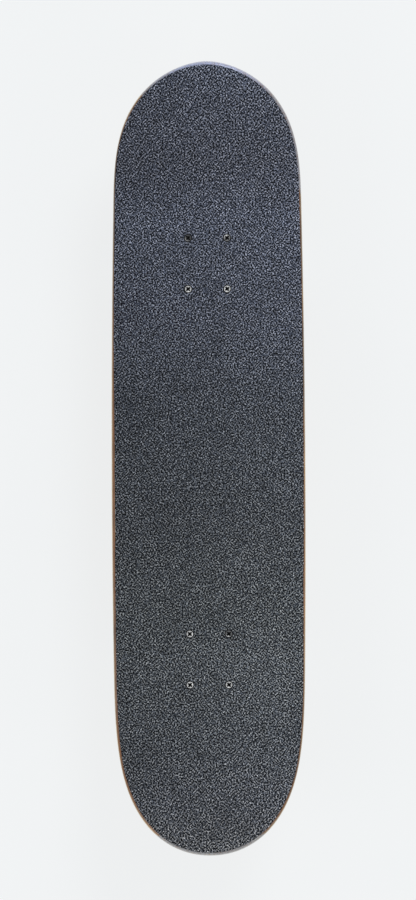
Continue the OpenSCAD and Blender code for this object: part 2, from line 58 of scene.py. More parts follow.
# ---------------------------------------------------------------- places, in the CAD's own measures (mm)
DECK_L = 823.4
DECK_W = 205.2
DECK_T = 11.0
GRIP_T = 1.0
TOP_EDGE_R = 2.5
LOW_EDGE_R = 4.5
NOSE_ANGLE = math.radians(23)
TAIL_ANGLE = math.radians(22)
BEND_R = 150.0
RAIL_RISE = 7.0
KICK_RAIL_RISE = 2.5
RAIL_FADE_H = 20.0
FLAT_HALF_W = 30.0
RAIL_POWER = 1.8
BEND_START = 46.0
OUTLINE_DEPTH = DECK_T - LOW_EDGE_R
SIDE_BOW = 3.4e-5
SIDE_MID_Y = -29.0
NOSE_END = (152.0, 3.275, 1.787)
TAIL_END = (197.0, 3.555, 2.075)
END_HALF_W = 45.0

BOLT_X, BOLT_Y = 41.275 / 2, 53.975 / 2
BOLT_L = 25.4
BOLT_SINK = 0.2
TRUCK_H = 53.5
RING_Y, RING_Z = -11.5, -33.5
KINGPIN_LEAN = math.radians(25)
RING_T = 10.0
SEAT_DEPTH = 2.5
BOARD_BUSHING_D, BOARD_BUSHING_H = 24.0, 15.0
ROAD_BUSHING_D, ROAD_BUSHING_TIP_D, ROAD_BUSHING_H = 22.5, 18.5, 13.0
AXLE_Y = 6.0
AXLE_L = 203.2
WHEEL_X = 82.5
WHEEL_R, WHEEL_HALF_W = 26.0, 16.0
BEARING_OUT = 12.0
SPEED_RING_T = 1.0
BASEPLATE_T = 6.0
WASHER_T = 1.5
NUT_H, KINGPIN_NUT_H = 6.0, 8.5
KINGPIN_HEAD_SEAT = 5.4
KINGPIN_PAST_NUT = 3.0

# Radius, pitch and depth of each thread
BOLT_THREAD = (2.415, 0.794, 0.42)
KINGPIN_THREAD = (4.76, 1.058, 0.55)
AXLE_THREAD = (4.0, 1.058, 0.5)


def box_mm(node):
    """Corners of a CAD node's box."""
    lo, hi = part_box(node)
    return np.array(lo) / MM, np.array(hi) / MM


TRUCK_Y = {}
for end_name, _ in ENDS:
    low, high = box_mm(end_name + "_baseplate")
    TRUCK_Y[end_name] = (low[1] + high[1]) / 2
UNDER_Z = box_mm("front_baseplate")[1][2]
TOP_Z = UNDER_Z + DECK_T


def move(x, y, z):
    return Matrix.Translation((x, y, z))


def truck_place(end):
    """Truck frame in mm: origin on the deck's underside, y outwards."""
    turn = 0 if end == "front" else math.pi
    return move(0, TRUCK_Y[end], UNDER_Z) @ Matrix.Rotation(turn, 4, "Z")


def kingpin_place(end):
    """Kingpin frame: origin in the middle of the hanger's ring, z along the kingpin towards the deck."""
    return truck_place(end) @ move(0, RING_Y, RING_Z) @ Matrix.Rotation(-KINGPIN_LEAN, 4, "X")


def axle_place(end, side):
    """Axle frame: origin in the middle of the axle, z out to a side."""
    sign = side if end == "front" else -side
    return truck_place(end) @ move(0, AXLE_Y, -TRUCK_H) @ Matrix.Rotation(sign * math.pi / 2, 4, "Y")


# ---------------------------------------------------------------- mesh helpers
def add_piece(name, verts_mm, faces, mat, body, stands_for=(), sharp=35, place=None):
    """A mesh piece given in mm, put in the row frame, riding on a body."""
    mesh = bpy.data.meshes.new(name)
    co = [place @ Vector(v) if place is not None else Vector(v) for v in verts_mm]
    mesh.from_pydata([c * MM for c in co], [], faces)
    mesh.validate()
    obj = bpy.data.objects.new(name, mesh)
    bpy.context.scene.collection.objects.link(obj)
    mesh.materials.append(mat)
    smooth(mesh, sharp)
    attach(obj, body)
    if stands_for:
        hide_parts(*stands_for)
    return obj


def smooth(mesh, sharp):
    """Smooth shading, with edges over an angle in degrees kept sharp."""
    mesh.polygons.foreach_set("use_smooth", [True] * len(mesh.polygons))
    mesh.set_sharp_from_angle(angle=math.radians(sharp))


def lathe(profile, segments=96):
    """Vertices and faces of a ring whose section, a closed profile of (radius, z), is turned about Z."""
    verts, faces = [], []
    n = len(profile)
    for s in range(segments):
        a = 2 * math.pi * s / segments
        verts += [(r * math.cos(a), r * math.sin(a), z) for r, z in profile]
    for s in range(segments):
        t = (s + 1) % segments
        for i in range(n):
            j = (i + 1) % n
            faces.append((s * n + i, t * n + i, t * n + j, s * n + j))
    return verts, faces


def solid_lathe(profile, segments=96):
    """The same for a solid, whose profile starts and ends on the axis."""
    inner = profile[1:-1]
    n = len(inner)
    verts, faces = [], []
    for s in range(segments):
        a = 2 * math.pi * s / segments
        verts += [(r * math.cos(a), r * math.sin(a), z) for r, z in inner]
    first, last = len(verts), len(verts) + 1
    verts += [(0, 0, profile[0][1]), (0, 0, profile[-1][1])]
    for s in range(segments):
        t = (s + 1) % segments
        for i in range(n - 1):
            faces.append((s * n + i, t * n + i, t * n + i + 1, s * n + i + 1))
        faces.append((first, t * n, s * n))
        faces.append((last, s * n + n - 1, t * n + n - 1))
    return verts, faces


def arc(cx, cz, r, start, stop, steps):
    """Points of an arc between two angles in degrees."""
    angles = [math.radians(start + (stop - start) * i / steps) for i in range(steps + 1)]
    return [(cx + r * math.cos(a), cz + r * math.sin(a)) for a in angles]


def joined(parts):
    """Joins (verts, faces, place) triples into one mesh's verts and faces."""
    verts, faces = [], []
    for v, f, place in parts:
        base = len(verts)
        verts += [tuple(place @ Vector(p)) for p in v]
        faces += [tuple(i + base for i in face) for face in f]
    return verts, faces


def cut_with(obj, cutter_verts, cutter_faces, lining=None):
    """Cuts a closed mesh (mm, row frame) out of obj. lining is the material of the cut faces."""
    mesh = bpy.data.meshes.new("cutter")
    mesh.from_pydata([Vector(v) * MM for v in cutter_verts], [], cutter_faces)
    if lining:
        mesh.materials.append(lining)
    tool = bpy.data.objects.new("cutter", mesh)
    bpy.context.scene.collection.objects.link(tool)
    mod = obj.modifiers.new("cut", "BOOLEAN")
    mod.operation = "DIFFERENCE"
    mod.solver = "EXACT"
    mod.material_mode = "TRANSFER" if lining else "INDEX"
    mod.object = tool
    bpy.context.view_layer.update()
    dg = bpy.context.evaluated_depsgraph_get()
    made = bpy.data.meshes.new_from_object(obj.evaluated_get(dg))
    obj.modifiers.clear()
    obj.data = made
    bpy.data.objects.remove(tool)


# ---------------------------------------------------------------- material helpers
class Graph:
    """Short names for the nodes that the materials use."""

    def __init__(self, tree):
        self.tree = tree
        self.where = tree.nodes.new("ShaderNodeTexCoord").outputs["Object"]

    def put(self, socket, value):
        if isinstance(value, bpy.types.NodeSocket):
            self.tree.links.new(value, socket)
        else:
            socket.default_value = value

    def mapped(self, scale, turn=(0, 0, 0)):
        n = self.tree.nodes.new("ShaderNodeMapping")
        self.put(n.inputs["Vector"], self.where)
        n.inputs["Scale"].default_value = scale
        n.inputs["Rotation"].default_value = turn
        return n.outputs[0]

    def noise(self, scale, detail=4, rough=0.5, vector=None, distortion=0.0):
        n = self.tree.nodes.new("ShaderNodeTexNoise")
        self.put(n.inputs["Vector"], vector or self.where)
        n.inputs["Scale"].default_value = scale
        n.inputs["Detail"].default_value = detail
        n.inputs["Roughness"].default_value = rough
        n.inputs["Distortion"].default_value = distortion
        return n.outputs["Fac"]

    def cells(self, scale, what):
        n = self.tree.nodes.new("ShaderNodeTexVoronoi")
        self.put(n.inputs["Vector"], self.where)
        n.inputs["Scale"].default_value = scale
        return n.outputs[what]

    def ramp(self, fac, stops, mode="LINEAR"):
        n = self.tree.nodes.new("ShaderNodeValToRGB")
        n.color_ramp.interpolation = mode
        while len(n.color_ramp.elements) < len(stops):
            n.color_ramp.elements.new(0.5)
        for e, (at, c) in zip(n.color_ramp.elements, stops):
            e.position = at
            e.color = c if len(c) == 4 else (*c, 1)
        self.put(n.inputs[0], fac)
        return n.outputs[0]

    def grey(self, fac, stops):
        return self.ramp(fac, [(at, (v, v, v)) for at, v in stops])

    def math(self, op, a, b=0.0, clamp=False):
        n = self.tree.nodes.new("ShaderNodeMath")
        n.operation = op
        n.use_clamp = clamp
        self.put(n.inputs[0], a)
        self.put(n.inputs[1], b)
        return n.outputs[0]

    def mix(self, fac, a, b, blend="MIX"):
        n = self.tree.nodes.new("ShaderNodeMix")
        n.data_type = "RGBA"
        n.blend_type = blend
        self.put(n.inputs["Factor"], fac)
        self.put(n.inputs[6], a if isinstance(a, bpy.types.NodeSocket) else (*a, 1))
        self.put(n.inputs[7], b if isinstance(b, bpy.types.NodeSocket) else (*b, 1))
        return n.outputs[2]

    def random_cells(self, scale):
        """One even random value for each cell."""
        n = self.tree.nodes.new("ShaderNodeSeparateColor")
        self.put(n.inputs[0], self.cells(scale, "Color"))
        return n.outputs[0]

    def attribute(self, name):
        n = self.tree.nodes.new("ShaderNodeAttribute")
        n.attribute_name = name
        return n.outputs["Fac"]

    def axis(self, letter):
        n = self.tree.nodes.new("ShaderNodeSeparateXYZ")
        self.put(n.inputs[0], self.where)
        return n.outputs[letter]

    def bump(self, height, strength, distance, before=None):
        n = self.tree.nodes.new("ShaderNodeBump")
        n.inputs["Strength"].default_value = strength
        n.inputs["Distance"].default_value = distance
        self.put(n.inputs["Height"], height)
        if before is not None:
            self.put(n.inputs["Normal"], before)
        return n.outputs[0]


def material(name, build, **values):
    """A Principled material: uniform values go on its own sockets, build() links the varying ones."""
    m = bpy.data.materials.new(name)
    m.use_nodes = True
    shader = m.node_tree.nodes["Principled BSDF"]
    for socket, value in values.items():
        shader.inputs[socket.replace("_", " ")].default_value = value
    g = Graph(m.node_tree)
    for socket, value in build(g).items():
        g.put(shader.inputs[socket.replace("_", " ")], value)
    return m


# ---------------------------------------------------------------- looks
def grit(g, scale, reach, amount):
    """Grain about one over scale in size, crisp because its surroundings are taken off it."""

    def at(dx, dy):
        shift = g.tree.nodes.new("ShaderNodeMapping")
        g.put(shift.inputs["Vector"], g.where)
        shift.inputs["Location"].default_value = (dx, dy, 0)
        n = g.tree.nodes.new("ShaderNodeTexNoise")
        n.noise_dimensions = "2D"
        g.put(n.inputs["Vector"], shift.outputs[0])
        n.inputs["Scale"].default_value = scale
        n.inputs["Detail"].default_value = 0
        return n.outputs["Fac"]

    beside = g.math("ADD", at(reach, 0), at(-reach, 0))
    around = g.math("ADD", beside, g.math("ADD", at(0, reach), at(0, -reach)))
    here = g.math("MULTIPLY", at(0, 0), 1 + 4 * amount)
    return g.math("SUBTRACT", here, g.math("MULTIPLY", around, amount))


def grip_colour(g, clump, crystal):
    """Dark tape with pale crystals that stand in clumps, bluish between them and warmer on them; the palest
    crystals are partly painted glints.
    """
    # Crystal tone: its brightest cells are partly painted glints of the grit.
    crystal_tone_and_glint = g.math("ADD", g.math("MULTIPLY", g.math("POWER", crystal, 4), 0.92), 0.07)
    grain = g.math("MULTIPLY", clump, crystal_tone_and_glint)
    colour = g.ramp(g.math("MULTIPLY", grain, 0.685), [(0.0, (0.0, 0.0, 0.0)), (1.0, (0.94, 1.0, 1.12))])
    hue = g.ramp(clump, [(0.0, (0.84, 1.0, 1.36)), (0.35, (0.965, 1.0, 1.09)), (1.0, (1.05, 1.0, 0.945))])
    return g.mix(1.0, colour, hue, "MULTIPLY")


def grip_painted_light_and_patches(g):
    """The slow changes over the board: painted light and shade along it and across it, and faint random
    patches of tone.
    """
    length = g.math("ADD", g.math("DIVIDE", g.axis("Y"), DECK_L * MM), 0.5)
    # Painted light and shade along the board, from how the flat and the kicks face the light.
    tint = g.ramp(length, [
        (0.01, (1.29, 1.28, 1.22)), (0.06, (1.09, 1.10, 1.10)), (0.14, (0.98, 1.01, 1.00)),
        (0.24, (1.08, 1.12, 1.09)), (0.30, (0.96, 1.00, 0.96)), (0.42, (0.84, 0.87, 0.87)),
        (0.55, (0.82, 0.86, 0.90)), (0.68, (0.90, 0.94, 1.06)), (0.81, (1.07, 1.13, 1.31)),
        (0.88, (0.93, 0.96, 1.08)), (0.96, (0.98, 1.03, 1.18)), (0.99, (1.10, 1.17, 1.36)),
    ])
    width = g.math("ADD", g.math("DIVIDE", g.axis("X"), DECK_W * MM), 0.5)
    # Painted light across the board, darker on the left and lighter on the right.
    side = g.grey(width, [(0.0, 0.86), (0.55, 1.0), (1.0, 1.15)])
    patch = g.grey(g.noise(11, 3, 0.5), [(0.3, 0.90), (0.7, 1.10)])
    return tint, side, patch


def grip_look(g):
    clump = grit(g, 655, 0.0016, 0.36)
    clump = g.math("ADD", g.math("DIVIDE", g.math("SUBTRACT", clump, 0.5), 0.76), 0.5, clamp=True)
    clump = g.math("ADD", g.math("MULTIPLY", g.math("POWER", clump, 1.4), 0.985), 0.015)
    crystal = g.random_cells(2000)
    colour = grip_colour(g, clump, crystal)
    # Painted light and shade, and random patches of tone, laid over the grit.
    for shade in grip_painted_light_and_patches(g):
        colour = g.mix(1.0, colour, shade, "MULTIPLY")
    return {
        "Base_Color": colour,
        "Roughness": g.grey(crystal, [(0.0, 0.95), (0.8, 0.8), (1.0, 0.45)]),
        "Normal": g.bump(g.math("ADD", clump, g.math("MULTIPLY", crystal, 0.6)), 0.35, 0.0003),
    }


def veneer_colour(g, veins, pores):
    """Maple as seen on the underside, with growth rings and pores along the board."""
    rings = g.math("FRACT", g.math("MULTIPLY", g.noise(1.0, 2, 0.45, vector=g.mapped((15, 1.0, 0))), 13))
    maple = [(0.30, (0.46, 0.29, 0.15)), (0.47, (0.61, 0.41, 0.225)), (0.70, (0.70, 0.505, 0.305))]
    face = g.ramp(veins, maple)
    ring_lines = g.grey(rings, [(0.0, 0.30), (0.10, 0.05), (0.55, 0.0), (0.92, 0.22), (1.0, 0.34)])
    face = g.mix(ring_lines, face, (0.33, 0.19, 0.09))
    return g.mix(g.grey(pores, [(0.44, 0.0), (0.62, 0.32)]), face, (0.30, 0.165, 0.075))


def ply_colour(g, depth):
    """The cut edge: seven plies from the top down, dark glue lines, fibre ends, stains and a tone that
    changes round the board.
    """
    plies = [
        (0.20, 0.080, 0.029), (0.62, 0.46, 0.18), (0.46, 0.22, 0.068), (0.62, 0.45, 0.18),
        (0.28, 0.075, 0.028), (0.52, 0.32, 0.125), (0.56, 0.37, 0.18),
    ]
    edge = g.ramp(depth, [(i / len(plies), c) for i, c in enumerate(plies)], "CONSTANT")
    in_ply = g.math("FRACT", g.math("MULTIPLY", depth, len(plies)))
    glue = g.math("ABSOLUTE", g.math("SUBTRACT", in_ply, 0.5))
    edge = g.mix(g.grey(glue, [(0.44, 0.0), (0.485, 0.75)]), edge, (0.07, 0.04, 0.02))
    fibre = g.noise(1.0, 3, 0.65, vector=g.mapped((900, 60, 900)))
    edge = g.mix(g.grey(fibre, [(0.35, 0.5), (0.6, 0.0)]), edge, (0.16, 0.085, 0.04))
    stain = g.grey(g.noise(40, 3, 0.55), [(0.36, 0.78), (0.55, 1.0)])
    return g.mix(1.0, edge, g.math("MULTIPLY", stain, g.attribute("shade")), "MULTIPLY")


def worn_and_reflection_share(g, depth):
    """How far the edge shows wear, with its painted skylight reflection, at each place: in patches, frayed,
    and only in its upper part.
    """
    patchy = g.math("MULTIPLY", g.math("SUBTRACT", g.noise(150, 4, 0.6), 0.5), 1.1)
    worn = g.grey(g.math("ADD", g.attribute("worn"), patchy), [(0.42, 0.0), (0.60, 1.0)])
    worn = g.math("MULTIPLY", worn, g.grey(depth, [(0.55, 1.0), (0.80, 0.0)]))
    frayed = g.noise(1.0, 4, 0.7, vector=g.mapped((320, 320, 900)))
    return g.math("MULTIPLY", worn, g.grey(frayed, [(0.36, 0.45), (0.52, 1.0)]))


def worn_colour_and_painted_reflection(g):
    """Worn grey, tinted lavender at the nose by a painted bluish skylight reflection, plain grey at the tail,
    both darker to the sides.
    """
    across = g.math("ADD", g.math("DIVIDE", g.axis("X"), DECK_W * MM), 0.5)
    # Lavender: grey wear with a painted bluish skylight reflection.
    nose_wear_and_reflection = g.ramp(across, [
        (0.20, (0.24, 0.24, 0.27)), (0.38, (0.34, 0.39, 0.57)),
        (0.66, (0.34, 0.37, 0.54)), (0.84, (0.27, 0.265, 0.29)),
    ])
    tail_tone = g.ramp(across, [
        (0.16, (0.20, 0.20, 0.205)), (0.32, (0.31, 0.315, 0.33)),
        (0.70, (0.28, 0.285, 0.295)), (0.82, (0.20, 0.198, 0.185)),
    ])
    tone = g.mix(g.math("GREATER_THAN", g.axis("Y"), 0.0), tail_tone, nose_wear_and_reflection)
    return g.mix(1.0, tone, g.grey(g.noise(420, 4, 0.65), [(0.32, 0.72), (0.66, 1.16)]), "MULTIPLY")


def ply_look(g):
    depth = g.attribute("ply")
    veins = g.noise(1.0, 6, 0.62, vector=g.mapped((75, 2.2, 0)), distortion=0.35)
    pores = g.noise(1.0, 3, 0.6, vector=g.mapped((620, 9, 0)))
    face = veneer_colour(g, veins, pores)
    edge = g.mix(worn_and_reflection_share(g, depth), ply_colour(g, depth), worn_colour_and_painted_reflection(g))
    inside = g.math("MULTIPLY", g.math("GREATER_THAN", depth, 0.004), g.math("LESS_THAN", depth, 0.996))
    return {
        "Base_Color": g.mix(inside, face, edge),
        "Roughness": g.grey(g.noise(180, 4), [(0.3, 0.30), (0.7, 0.46)]),
        "Normal": g.bump(g.math("ADD", veins, g.math("MULTIPLY", pores, 0.5)), 0.12, 0.0003),
    }


def cast_look(g):
    grain = g.noise(900, 5, 0.62)
    dents = g.cells(420, "Distance")
    stain = g.noise(38, 5, 0.6)
    colour = g.ramp(stain, [(0.3, (0.46, 0.47, 0.49)), (0.7, (0.66, 0.665, 0.68))])
    return {
        "Base_Color": g.mix(g.grey(grain, [(0.35, 0.25), (0.6, 0.0)]), colour, (0.28, 0.285, 0.30)),
        "Roughness": g.grey(g.math("ADD", g.math("MULTIPLY", stain, 0.6), g.math("MULTIPLY", grain, 0.4)),
                            [(0.35, 0.33), (0.65, 0.56)]),
        "Normal": g.bump(dents, 0.16, 0.0003, g.bump(grain, 0.35, 0.0002)),
    }


def steel_look(tint, rough, scratch):
    def build(g):
        lines = g.noise(1.0, 4, 0.7, vector=g.mapped(scratch))
        spots = g.noise(260, 5, 0.65)
        low = tuple(c * 0.72 for c in tint)
        return {
            "Base_Color": g.ramp(spots, [(0.32, low), (0.66, tint)]),
            "Roughness": g.grey(g.math("ADD", g.math("MULTIPLY", lines, 0.5), g.math("MULTIPLY", spots, 0.5)),
                                [(0.35, rough - 0.07), (0.65, rough + 0.12)]),
            "Normal": g.bump(lines, 0.10, 0.0001),
        }
    return build


def urethane_look(pale, deep, speck):
    def build(g):
        cloud = g.noise(60, 4, 0.6)
        pits = g.noise(1500, 3, 0.6)
        colour = g.ramp(cloud, [(0.3, deep), (0.7, pale)])
        return {
            "Base_Color": g.mix(g.grey(pits, [(0.62, 0.0), (0.72, 0.35)]), colour, speck),
            "Roughness": g.grey(cloud, [(0.3, 0.36), (0.7, 0.5)]),
            "Normal": g.bump(pits, 0.10, 0.0002),
        }
    return build


def wheel_look(g):
    tread = g.attribute("tread")
    cloud = g.noise(45, 4, 0.6)
    scuff = g.noise(1.0, 5, 0.68, vector=g.mapped((620, 130, 130)))
    clean = g.ramp(cloud, [(0.3, (0.70, 0.665, 0.575)), (0.7, (0.79, 0.76, 0.68))])
    dirt = g.math("MULTIPLY", tread, g.grey(scuff, [(0.36, 0.42), (0.64, 0.88)]), clamp=True)
    return {
        "Base_Color": g.mix(g.math("MULTIPLY", dirt, 0.62), clean, (0.36, 0.33, 0.28)),
        "Roughness": g.grey(g.math("ADD", g.math("MULTIPLY", cloud, 0.3), g.math("MULTIPLY", dirt, 0.7)),
                            [(0.1, 0.32), (0.7, 0.68)]),
        "Normal": g.bump(scuff, 0.12, 0.0002, g.bump(g.noise(1300, 3, 0.6), 0.06, 0.0002)),
    }


def rubber_look(g):
    grain = g.noise(1100, 4, 0.6)
    return {
        "Base_Color": g.ramp(g.noise(90, 4), [(0.3, (0.016, 0.016, 0.018)), (0.7, (0.035, 0.035, 0.038))]),
        "Roughness": g.grey(grain, [(0.35, 0.45), (0.65, 0.62)]),
        "Normal": g.bump(grain, 0.15, 0.0002),
    }


def floor_look(g):
    cloud = g.noise(2.5, 4, 0.5)
    return {
        "Base_Color": g.ramp(cloud, [(0.3, (0.135, 0.138, 0.139)), (0.7, (0.141, 0.144, 0.145))]),
        "Emission_Color": g.ramp(cloud, [(0.3, (0.966, 0.984, 0.994)), (0.7, (0.972, 0.990, 1.0))]),
    }


def torn_edge_shade_look(g):
    # Near-black painted shade: the halo round each bolt head, darker than the grip itself.
    grain = g.random_cells(1500)
    return {
        "Base_Color": g.ramp(grain, [
            (0.0, (0.002, 0.002, 0.003)), (0.8, (0.008, 0.008, 0.010)), (1.0, (0.06, 0.06, 0.07)),
        ]),
        "Roughness": g.grey(grain, [(0.0, 0.95), (1.0, 0.7)]),
        "Normal": g.bump(grain, 0.3, 0.0002),
    }


def screw_look(g):
    # Bright zinc and a near-black dull finish, mixed by worn dullness, a painted highlight and painted shade
    # on the bevels.
    wear_and_painted_light = g.attribute("wear_and_painted_light")
    lines = g.noise(1.0, 4, 0.7, vector=g.mapped((900, 300, 300), (0, 0, 0.6)))
    spots = g.noise(700, 5, 0.65)
    bright_and_painted_highlight = g.ramp(spots, [(0.30, (0.80, 0.81, 0.81)), (0.62, (0.97, 0.975, 0.97))])
    # Near-black: the dull heads' oxide, and painted shade on every bevel and shank.
    dull_and_painted_shade = g.ramp(g.noise(900, 5, 0.7), [(0.38, (0.006, 0.0065, 0.008)), (0.70, (0.080, 0.085, 0.095))])
    matt = g.math("ADD", g.math("MULTIPLY", wear_and_painted_light, 0.7), g.math("MULTIPLY", spots, 0.3))
    return {
        "Base_Color": g.mix(wear_and_painted_light, bright_and_painted_highlight, dull_and_painted_shade),
        "Roughness": g.grey(matt, [(0.0, 0.24), (1.0, 0.72)]),
        "Normal": g.bump(lines, 0.12, 0.0001),
    }


def recess_shade_look(g):
    # Near-black painted shade lining the Phillips recesses.
    shade_speckle = g.noise(1800, 4, 0.6)
    return {
        "Base_Color": g.ramp(shade_speckle, [(0.3, (0.002, 0.002, 0.002)), (0.75, (0.010, 0.010, 0.011))]),
        "Roughness": g.grey(shade_speckle, [(0.3, 0.7), (0.7, 0.95)]),
    }


# ---------------------------------------------------------------- materials
GRIP = material("grip_grit", grip_look, Specular_IOR_Level=0.12)
GRIP_EDGE_SHADE = material("grip_torn_edge_painted_shade", torn_edge_shade_look, Specular_IOR_Level=0.1)
PLY = material("maple_plies", ply_look, Coat_Weight=0.35, Coat_Roughness=0.16)
CAST = material("cast_aluminium", cast_look, Metallic=1.0)
SCREW = material("screw_zinc", screw_look, Metallic=0.4)
RECESS_SHADE = material("recess_painted_shade", recess_shade_look, Specular_IOR_Level=0.15)
BRIGHT = material("bright_zinc", steel_look((0.74, 0.745, 0.76), 0.26, (300, 300, 2400)), Metallic=1.0)
DULL = material("dull_zinc", steel_look((0.50, 0.50, 0.51), 0.38, (1500, 1500, 300)), Metallic=1.0)
GROUND = material("ground_steel", steel_look((0.60, 0.60, 0.615), 0.24, (2600, 300, 300)), Metallic=1.0)
POLISHED = material("bearing_steel", steel_look((0.72, 0.725, 0.735), 0.16, (1800, 400, 400)), Metallic=1.0)
TURNED = material("turned_aluminium", steel_look((0.72, 0.72, 0.735), 0.3, (2600, 200, 200)), Metallic=1.0)
WHEEL = material("wheel_urethane", wheel_look, Subsurface_Weight=0.12, Subsurface_Scale=0.004)
amber = urethane_look((0.72, 0.50, 0.19), (0.60, 0.37, 0.12), (0.42, 0.25, 0.08))
BUSHING = material("bushing_urethane", amber, Subsurface_Weight=0.15, Subsurface_Scale=0.004)
CUP = material("cup_urethane", rubber_look)
black = urethane_look((0.050, 0.052, 0.056), (0.030, 0.031, 0.034), (0.08, 0.08, 0.085))
NYLON = material("cage_nylon", black)
white = urethane_look((0.72, 0.73, 0.74), (0.62, 0.63, 0.65), (0.5, 0.5, 0.52))
INSERT = material("nut_insert", white)
FLOOR = material("studio_floor", floor_look, Roughness=1.0, Specular_IOR_Level=0.0, Emission_Strength=0.773)


# ---------------------------------------------------------------- deck surface, as in the CAD (mm)
def kick_rise(v, angle):
    """Height of a kick at distance v past the start of its bend."""
    bend = BEND_R * math.sin(angle)
    inside = BEND_R - np.sqrt(np.maximum(BEND_R**2 - np.clip(v, 0, bend) ** 2, 0))
    return inside + np.maximum(v - bend, 0) * math.tan(angle)


def spine_z(y):
    """Height of the deck's middle line."""
    nose = kick_rise(y - TRUCK_Y["front"] - BEND_START, NOSE_ANGLE)
    tail = kick_rise(TRUCK_Y["rear"] - BEND_START - y, TAIL_ANGLE)
    return np.where(y > 0, nose, tail)


def skin_z(x, y):
    """Height of the deck's top face over its flat part."""
    rise = spine_z(y)
    rail = RAIL_RISE + (KICK_RAIL_RISE - RAIL_RISE) * np.minimum(1, rise / RAIL_FADE_H)
    out = np.maximum(0, np.abs(x) - FLAT_HALF_W) / (DECK_W / 2 - FLAT_HALF_W)
    return rise + rail * out**RAIL_POWER


def skin_points(x, y, depth):
    """Points of the laminate at plan places x, y and depths from the top face, all in mm."""
    x, y, depth = (np.asarray(a, float) for a in np.broadcast_arrays(x, y, depth))
    h = 0.5
    sx = (skin_z(x + h, y) - skin_z(x - h, y)) / (2 * h)
    sy = (skin_z(x, y + h) - skin_z(x, y - h)) / (2 * h)
    n = np.stack([-sx, -sy, np.ones_like(sx)], -1)
    n /= np.linalg.norm(n, axis=-1, keepdims=True)
    base = np.stack([x, y, TOP_Z - OUTLINE_DEPTH + skin_z(x, y)], -1)
    return base - (depth - OUTLINE_DEPTH)[..., None] * n


def end_share(d, reach, p, q):
    """Share of the side's half width that a rounded end leaves at distance d from its tip."""
    t = np.clip(1 - np.maximum(d, 0) / reach, 0, 1)
    return (1 - t**p) ** (1 / q)


def side_half_w(y):
    """Half width of the deck's gently bowed sides."""
    return DECK_W / 2 - SIDE_BOW * (y - SIDE_MID_Y) ** 2


def half_w(y):
    """Half width of the deck, with its rounded ends."""
    nose = end_share(DECK_L / 2 - y, *NOSE_END)
    tail = end_share(DECK_L / 2 + y, *TAIL_END)
    return side_half_w(y) * nose * tail


def end_y(x, sign):
    """Where the outline reaches the half width |x| at the nose (sign 1) or the tail (-1)."""
    x = np.abs(np.asarray(x, float))
    near, far = np.full(x.shape, DECK_L / 2 * 0.7), np.full(x.shape, DECK_L / 2)
    for _ in range(50):
        mid = (near + far) / 2
        wide = half_w(sign * mid) > x
        near, far = np.where(wide, mid, near), np.where(wide, far, mid)
    return sign * near


def plan_grid(rows, cols):
    """Plan places of the board's grid, tail to nose and left to right, with the CAD's rounded end rows."""
    v = np.linspace(-1, 1, rows + 1)
    pos = 0.55 * v + 0.45 * np.sin(np.pi / 2 * v)
    y_lo, y_hi = float(end_y(END_HALF_W, -1)), float(end_y(END_HALF_W, 1))
    row_y = y_lo + (y_hi - y_lo) * (pos + 1) / 2
    c = np.linspace(-1, 1, cols + 1)
    w = half_w(row_y)
    w[0] = w[-1] = END_HALF_W
    bulge = (np.maximum(0, np.abs(pos) - 0.6) / 0.4) ** 2
    nose_tip = (end_y(END_HALF_W * c, 1) - y_hi)[None, :]
    tail_tip = (end_y(END_HALF_W * c, -1) - y_lo)[None, :]
    tip = np.where((pos > 0)[:, None], nose_tip, tail_tip)
    x = c[None, :] * w[:, None]
    y = row_y[:, None] + bulge[:, None] * tip
    return x, y


def drawn_in(x, y, border, shift):
    """The grid with its border moved by shift, and the rows and columns near it moved along, ever less."""
    rows_moved, cols_moved = 10, 4
    rows, cols = x.shape[0] - 1, x.shape[1] - 1
    full = np.zeros(x.shape + (2,))
    full[border[:, 0], border[:, 1]] = shift
    i = np.arange(rows + 1)[:, None, None]
    j = np.arange(cols + 1)[None, :, None]
    steps_in = (i / rows_moved, (rows - i) / rows_moved, j / cols_moved, (cols - j) / cols_moved)
    weights = [np.clip(1 - step, 0, 1) for step in steps_in]
    sources = [full[:1], full[-1:], full[:, :1], full[:, -1:]]
    moved = sum(w * f for w, f in zip(weights, sources)) / np.maximum(sum(weights), 1)
    moved[border[:, 0], border[:, 1]] = shift
    return x + moved[..., 0], y + moved[..., 1]


